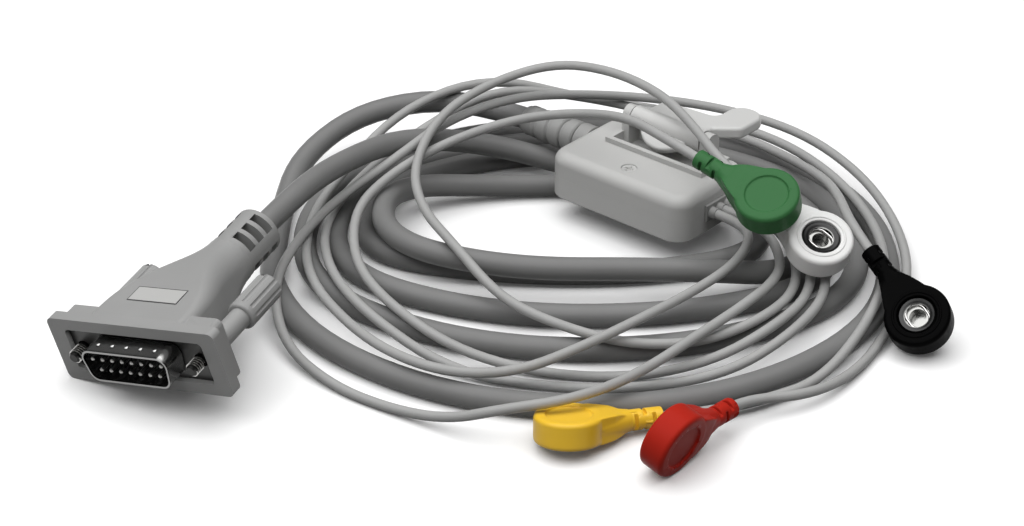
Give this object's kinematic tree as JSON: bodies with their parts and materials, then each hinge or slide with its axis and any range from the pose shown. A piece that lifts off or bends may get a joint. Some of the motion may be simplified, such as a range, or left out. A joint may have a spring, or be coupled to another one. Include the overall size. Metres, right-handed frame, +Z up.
{
  "type": "ecg patient cable",
  "caption": "Coiled heart-monitor patient cable: screw-lock D connector and hood, trunk cable, clip-on yoke and thin leads ending in coloured snap sockets.",
  "frame": {"origin": "on the bench, under the middle of the rigid pieces' bounding box", "axes": "+X to the right as pictured, from the plug towards the snaps; +Y away from the viewer; +Z up from the bench"},
  "size_m": [0.2074, 0.1692, 0.0345],
  "materials": {
    "hood_plastic": "satin moulded plastic",
    "plated_steel": "nickel plated",
    "insulator_plastic": "moulded",
    "contact_metal": "tinned contacts",
    "knob_plastic": "satin moulded plastic",
    "yoke_plastic": "fine satin",
    "board_laminate": "circuit board",
    "resistor_body": "glazed",
    "grey_rubber": "soft moulded",
    "clip_plastic": "smooth",
    "snap_metal": "plated socket",
    "green_plastic": "smooth moulded",
    "white_plastic": "smooth moulded",
    "black_plastic": "smooth moulded",
    "yellow_plastic": "smooth moulded",
    "red_plastic": "smooth moulded",
    "trunk_jacket": "smooth jacket",
    "lead_jacket": "smooth jacket"
  },
  "bodies": {
    "cable_set": {"connector_hood": "hood_plastic", "front_shell": "plated_steel", "rear_shell": "plated_steel", "cable_ferrule": "plated_steel", "yoke_screw": "plated_steel", "clip_pin": "plated_steel", "clip_spring": "plated_steel", "contact_insulator": "insulator_plastic", "contact_pins": "contact_metal", "yoke_lower_shell": "yoke_plastic", "yoke_upper_shell": "yoke_plastic", "yoke_board": "board_laminate", "lead_resistors": "resistor_body", "lead_grommet": "grey_rubber", "yoke_boot": "grey_rubber", "green_snap_socket": "snap_metal", "green_snap_spring": "snap_metal", "white_snap_socket": "snap_metal", "white_snap_spring": "snap_metal", "black_snap_socket": "snap_metal", "black_snap_spring": "snap_metal", "yellow_snap_socket": "snap_metal", "yellow_snap_spring": "snap_metal", "red_snap_socket": "snap_metal", "red_snap_spring": "snap_metal", "green_snap_body": "green_plastic", "white_snap_body": "white_plastic", "black_snap_body": "black_plastic", "yellow_snap_body": "yellow_plastic", "red_snap_body": "red_plastic", "trunk_connector_end": "trunk_jacket", "trunk_coil": "trunk_jacket", "trunk_yoke_end": "trunk_jacket", "green_lead": "lead_jacket", "white_lead": "lead_jacket", "black_lead": "lead_jacket", "yellow_lead": "lead_jacket", "red_lead": "lead_jacket"},
    "left_thumbscrew": {"left_jackscrew": "plated_steel", "left_knob": "knob_plastic"},
    "right_thumbscrew": {"right_jackscrew": "plated_steel", "right_knob": "knob_plastic"},
    "clip": {"clip_lever": "clip_plastic"}
  },
  "joints": [
    {"name": "left_thumbscrew_spin", "type": "hinge", "parent": "cable_set", "child": "left_thumbscrew", "pos_m": [-0.08777, -0.01888, 0.01199], "axis": [0.4567, 0.8773, 0.1478], "continuous": true},
    {"name": "right_thumbscrew_spin", "type": "hinge", "parent": "cable_set", "child": "right_thumbscrew", "pos_m": [-0.05926, -0.03483, 0.01856], "axis": [0.4567, 0.8773, 0.1478], "continuous": true},
    {"name": "clip_hinge", "type": "hinge", "parent": "cable_set", "child": "clip", "pos_m": [0.04104, 0.04745, 0.0238], "axis": [-0.7547, 0.6561, 0], "range_deg": [0, 15], "stiffness_Nm_per_rad": 0.05, "springref_deg": -20.05}
  ]
}
